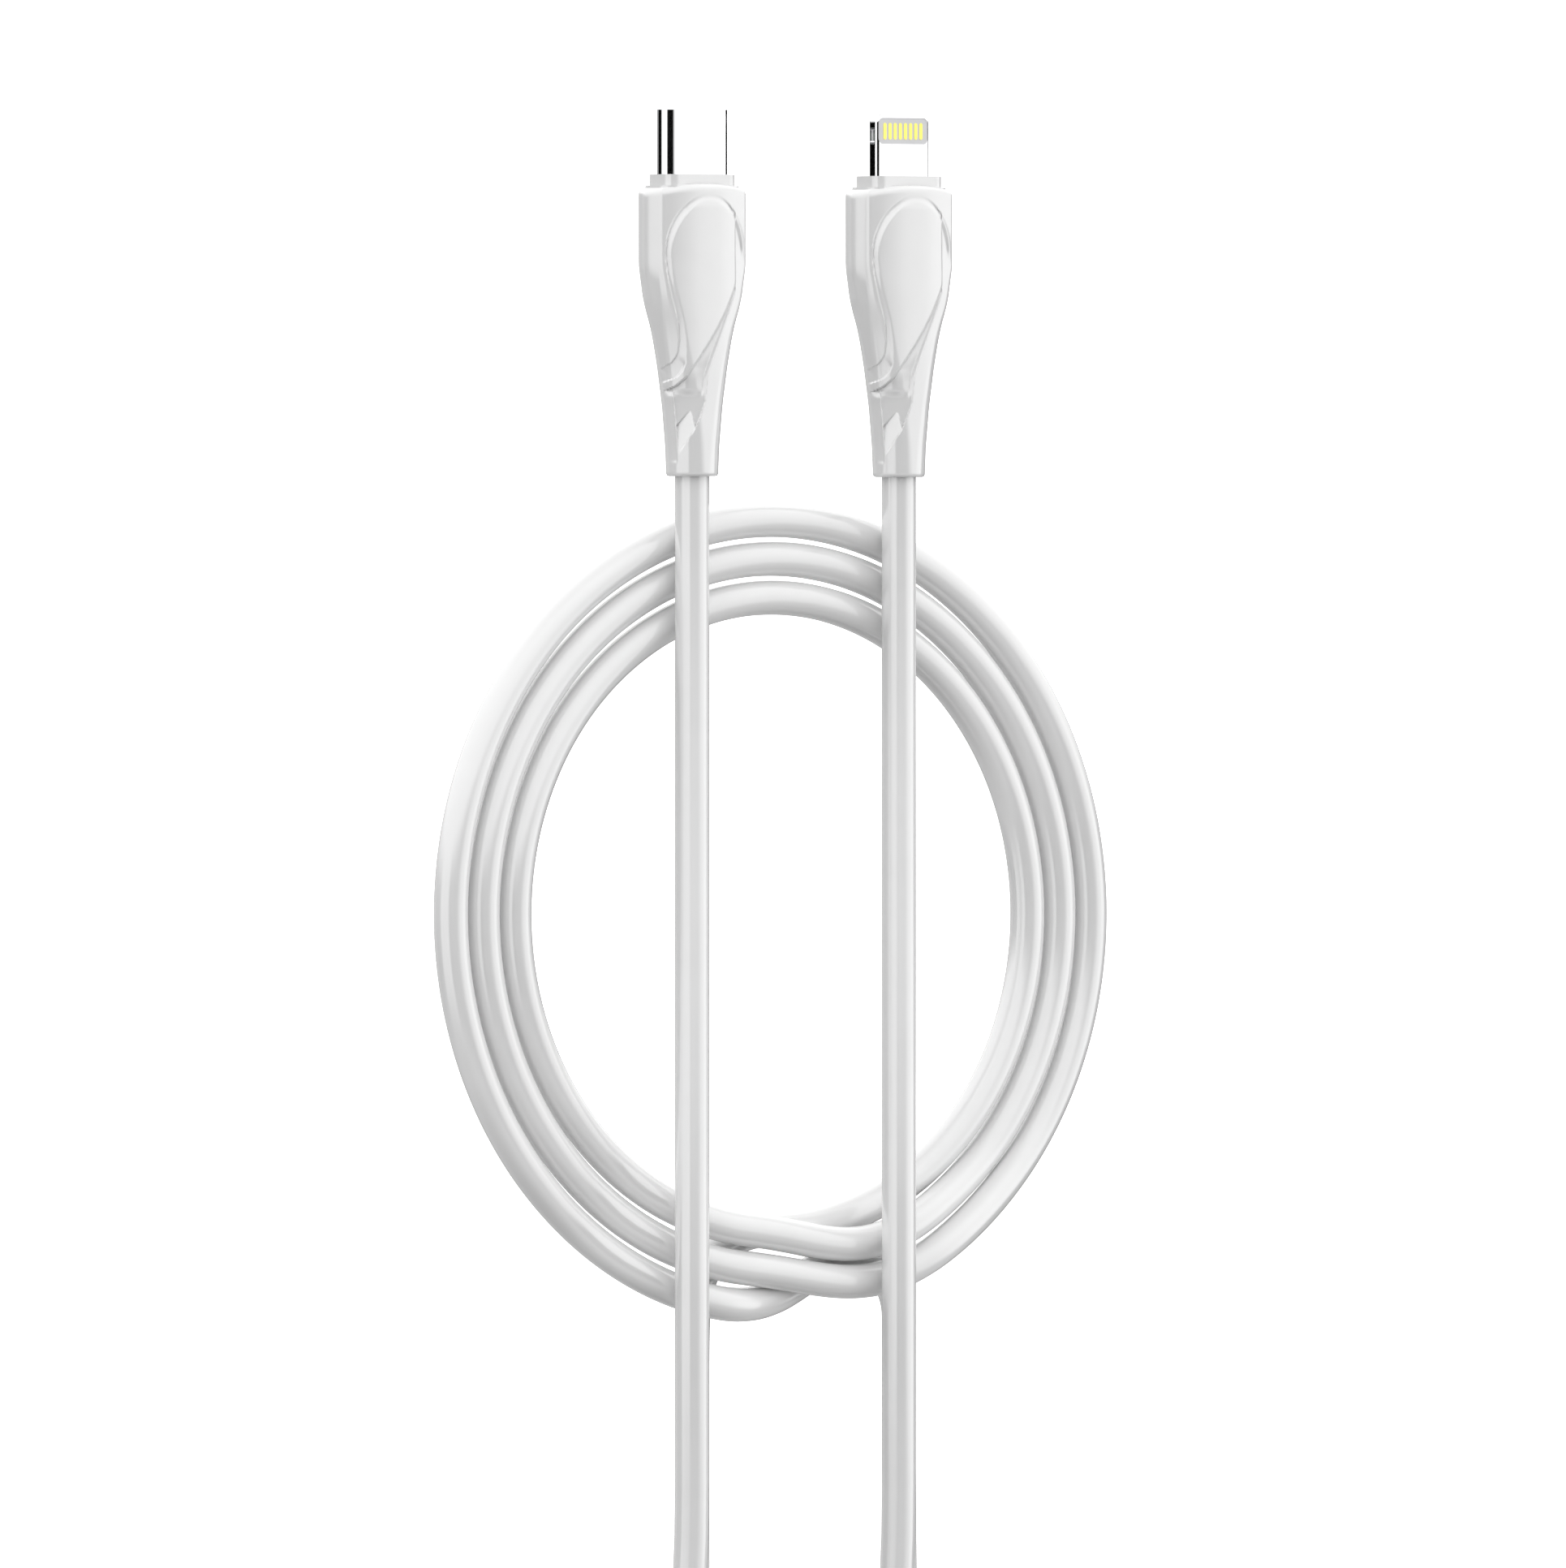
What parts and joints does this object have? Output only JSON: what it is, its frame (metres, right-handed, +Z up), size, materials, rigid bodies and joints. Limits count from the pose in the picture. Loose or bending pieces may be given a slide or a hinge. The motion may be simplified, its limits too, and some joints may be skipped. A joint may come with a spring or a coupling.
{
  "type": "charging cable",
  "caption": "White charging cable with an oval-shell plug and a flat-tab plug on sculpted grips, its thin round cord laid in a flat round coil.",
  "frame": {"origin": "on the surface the coil lies on, under the coil's edge nearest the plugs and midway between the two cords", "axes": "+Z up; both plugs point to +Y, with the coil towards -Y; the oval plug is on the -X side"},
  "size_m": [0.0837, 0.1806, 0.011],
  "materials": {
    "plated_steel": "bright nickel-plated steel",
    "liner_plastic": "black high-temperature nylon",
    "gold": "gold-plated contact alloy",
    "spring_steel": "bare stainless spring steel",
    "insert_plastic": "light grey moulded insert",
    "board": "green solder mask on glass epoxy",
    "chip": "black moulded chip package",
    "tinned_sheet": "tin-plated steel sheet",
    "wire_red": "red wire insulation",
    "wire_black": "black wire insulation",
    "wire_green": "green wire insulation",
    "wire_white": "white wire insulation",
    "collar_plastic": "hard white moulding",
    "grip_plastic": "satin white soft moulding",
    "jacket": "smooth white elastomer jacket"
  },
  "bodies": {
    "cable": {"cord_coil": "jacket", "cord_run_oval": "jacket", "cord_run_tab": "jacket", "oval_board": "board", "oval_chips": "chip", "oval_contacts_lower": "gold", "oval_contacts_upper": "gold", "oval_data_minus_wire": "wire_white", "oval_data_plus_wire": "wire_green", "oval_ferrule": "tinned_sheet", "oval_grip": "grip_plastic", "oval_ground_spring_lower": "spring_steel", "oval_ground_spring_upper": "spring_steel", "oval_ground_wire": "wire_black", "oval_inner_mould": "collar_plastic", "oval_jacket_end": "jacket", "oval_liner": "liner_plastic", "oval_mid_plate": "spring_steel", "oval_power_wire": "wire_red", "oval_shell": "plated_steel", "oval_shield_lower": "tinned_sheet", "oval_shield_upper": "tinned_sheet", "tab_board": "board", "tab_chips": "chip", "tab_contacts_lower": "gold", "tab_contacts_upper": "gold", "tab_data_minus_wire": "wire_white", "tab_data_plus_wire": "wire_green", "tab_ferrule": "tinned_sheet", "tab_frame": "plated_steel", "tab_grip": "grip_plastic", "tab_ground_wire": "wire_black", "tab_inner_mould": "collar_plastic", "tab_insert_lower": "insert_plastic", "tab_insert_upper": "insert_plastic", "tab_jacket_end": "jacket", "tab_power_wire": "wire_red", "tab_shield_lower": "tinned_sheet", "tab_shield_upper": "tinned_sheet"},
    "latch_left": {"oval_latch_left": "spring_steel"},
    "latch_right": {"oval_latch_right": "spring_steel"}
  },
  "joints": [
    {"name": "latch_left_flex", "type": "hinge", "parent": "cable", "child": "latch_left", "pos_m": [-0.01657, 0.0394, 0.00535], "axis": [0, 0, 1], "range_deg": [0, 1.8], "stiffness_Nm_per_rad": 0.1},
    {"name": "latch_right_flex", "type": "hinge", "parent": "cable", "child": "latch_right", "pos_m": [-0.00937, 0.0394, 0.00535], "axis": [0, 0, -1], "range_deg": [0, 1.8], "stiffness_Nm_per_rad": 0.1}
  ]
}
